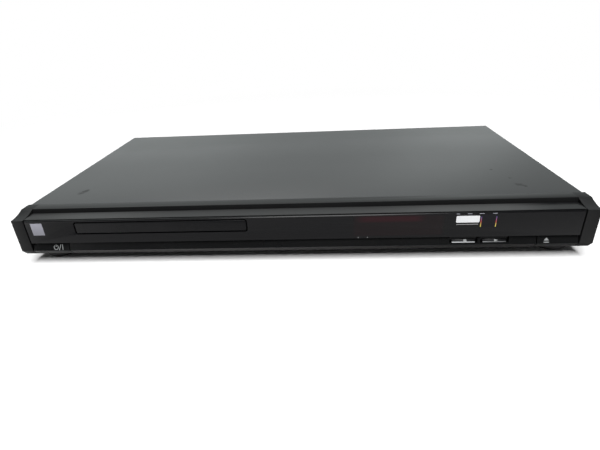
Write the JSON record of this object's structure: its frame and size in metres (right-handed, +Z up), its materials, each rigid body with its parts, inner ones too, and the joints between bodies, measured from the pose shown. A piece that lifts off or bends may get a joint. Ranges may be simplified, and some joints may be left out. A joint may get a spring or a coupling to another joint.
{
  "type": "disc player",
  "caption": "Slim full-width disc player with a motor-driven tray in a ledged front panel, four keys, a display window and rear sockets.",
  "frame": {"origin": "centre of the case's bounding box in plan, on the surface that the feet stand on", "axes": "+X to the right across the front, -Y out of the front panel, +Z up"},
  "size_m": [0.4336, 0.232, 0.0433],
  "materials": {
    "painted_steel": "satin black paint with a fine orange peel",
    "zinc_steel": "zinc-plated sheet",
    "screw_steel": "black screws",
    "black_moulding": "fine satin black moulding",
    "face_gloss": "smoked gloss plate",
    "door_gloss": "semi-gloss black",
    "tray_plastic": "fine-textured black",
    "frame_plastic": "glass-filled dark grey",
    "white_nylon": "natural acetal",
    "foot_rubber": "matte black",
    "belt_rubber": "matte black",
    "board_green": "solder-masked circuit board",
    "board_tan": "paper-phenolic circuit board",
    "chip_black": "moulded epoxy",
    "red_filter": "red display filter",
    "yellow_tape": "transformer tape",
    "capacitor_sleeve": "printed sleeve",
    "sink_aluminium": "extruded",
    "cable_white": "flat flexible cable",
    "lens_glass": "coated lens in a black holder",
    "jack_black": "black jack housing"
  },
  "bodies": {
    "case": {"base_chassis": "zinc_steel", "foot_front_left": "foot_rubber", "foot_front_right": "foot_rubber", "foot_rear_left": "foot_rubber", "foot_rear_right": "foot_rubber", "front_panel": "black_moulding", "face_plate": "face_gloss", "display_filter": "red_filter", "loader_frame": "frame_plastic", "loading_motor": "zinc_steel", "drive_belt": "belt_rubber", "clamper_bridge": "zinc_steel", "front_board": "board_tan", "power_key_board": "board_tan", "power_switch": "chip_black", "stop_switch": "chip_black", "play_switch": "chip_black", "open_close_switch": "chip_black", "display_module": "chip_black", "rear_panel": "painted_steel", "ac_inlet": "jack_black", "hdmi_socket": "zinc_steel", "coaxial_jack": "jack_black", "av_jack_block": "jack_black", "main_board": "board_green", "power_board": "board_tan", "decoder_chip": "chip_black", "memory_chip": "chip_black", "transformer": "yellow_tape", "bulk_capacitor": "capacitor_sleeve", "heat_sink": "sink_aluminium", "front_flat_cable": "cable_white", "top_cover": "painted_steel", "rear_screw_1": "screw_steel", "rear_screw_2": "screw_steel", "rear_screw_3": "screw_steel", "side_screw_left": "screw_steel", "side_screw_right": "screw_steel"},
    "tray": {"disc_tray": "tray_plastic", "tray_door": "door_gloss"},
    "drive_gear": {"tray_drive_gear": "white_nylon"},
    "pulley": {"pulley_gear": "white_nylon"},
    "motor_spool": {"motor_pulley": "white_nylon"},
    "power_key": {"power_key": "black_moulding"},
    "stop_key": {"stop_key": "black_moulding"},
    "play_key": {"play_key": "black_moulding"},
    "open_close_key": {"open_close_key": "black_moulding"},
    "cam": {"cam_slider": "white_nylon"},
    "traverse": {"traverse_plate": "zinc_steel", "spindle_motor": "zinc_steel", "guide_rod_left": "zinc_steel", "guide_rod_right": "zinc_steel", "feed_motor": "zinc_steel"},
    "turntable": {"turntable": "chip_black"},
    "clamper": {"clamper": "chip_black"},
    "sled": {"pickup_sled": "chip_black", "objective_lens": "lens_glass"},
    "feed_gear": {"feed_gear": "white_nylon"},
    "feed_pinion": {"feed_pinion": "white_nylon"}
  },
  "joints": [
    {"name": "tray_slide", "type": "slide", "parent": "case", "child": "tray", "axis": [0, -1, 0], "range_m": [0, 0.135]},
    {"name": "drive_gear_spin", "type": "hinge", "parent": "case", "child": "drive_gear", "pos_m": [-0.1468, -0.0915, 0.029], "axis": [0, 0, 1], "continuous": true},
    {"name": "pulley_spin", "type": "hinge", "parent": "case", "child": "pulley", "pos_m": [-0.1248, -0.0915, 0.029], "axis": [0, 0, 1], "continuous": true},
    {"name": "motor_pulley_spin", "type": "hinge", "parent": "case", "child": "motor_spool", "pos_m": [-0.0918, -0.0915, 0.0295], "axis": [0, 0, 1], "continuous": true},
    {"name": "power_key_press", "type": "slide", "parent": "case", "child": "power_key", "axis": [0, 1, 0], "range_m": [0, 0.0008], "stiffness_N_per_m": 600, "springref_m": -0.0008},
    {"name": "stop_key_press", "type": "slide", "parent": "case", "child": "stop_key", "axis": [0, 1, 0], "range_m": [0, 0.0008], "stiffness_N_per_m": 600, "springref_m": -0.0008},
    {"name": "play_key_press", "type": "slide", "parent": "case", "child": "play_key", "axis": [0, 1, 0], "range_m": [0, 0.0008], "stiffness_N_per_m": 600, "springref_m": -0.0008},
    {"name": "open_close_key_press", "type": "slide", "parent": "case", "child": "open_close_key", "axis": [0, 1, 0], "range_m": [0, 0.0008], "stiffness_N_per_m": 600, "springref_m": -0.0008},
    {"name": "traverse_tilt", "type": "hinge", "parent": "case", "child": "traverse", "pos_m": [-0.0998, 0.048, 0.017], "axis": [-1, 0, 0], "range_deg": [0, 3.57]},
    {"name": "cam_slide", "type": "slide", "parent": "case", "child": "cam", "axis": [1, 0, 0], "range_m": [0, 0.0241]},
    {"name": "turntable_spin", "type": "hinge", "parent": "traverse", "child": "turntable", "pos_m": [-0.0998, -0.046, 0.0265], "axis": [0, 0, 1], "continuous": true},
    {"name": "clamper_spin", "type": "hinge", "parent": "case", "child": "clamper", "pos_m": [-0.0998, -0.046, 0.039], "axis": [0, 0, 1], "continuous": true},
    {"name": "sled_slide", "type": "slide", "parent": "traverse", "child": "sled", "axis": [0, 1, 0], "range_m": [0, 0.034]},
    {"name": "feed_gear_spin", "type": "hinge", "parent": "traverse", "child": "feed_gear", "pos_m": [-0.0603, 0, 0.0205], "axis": [0, 0, 1], "continuous": true},
    {"name": "feed_pinion_spin", "type": "hinge", "parent": "traverse", "child": "feed_pinion", "pos_m": [-0.0603, 0.0136, 0.0205], "axis": [0, 0, 1], "continuous": true}
  ],
  "couplings": [
    {"joint": "drive_gear_spin", "follows": "tray_slide", "rad_per_m": 142.86},
    {"joint": "pulley_spin", "follows": "tray_slide", "rad_per_m": -306.12},
    {"joint": "motor_pulley_spin", "follows": "tray_slide", "rad_per_m": -909.09},
    {"joint": "cam_slide", "follows": "traverse_tilt", "m_per_rad": 0.38554},
    {"joint": "clamper_spin", "follows": "turntable_spin", "ratio": 1},
    {"joint": "feed_gear_spin", "follows": "sled_slide", "rad_per_m": -125},
    {"joint": "feed_pinion_spin", "follows": "sled_slide", "rad_per_m": 178.57}
  ]
}
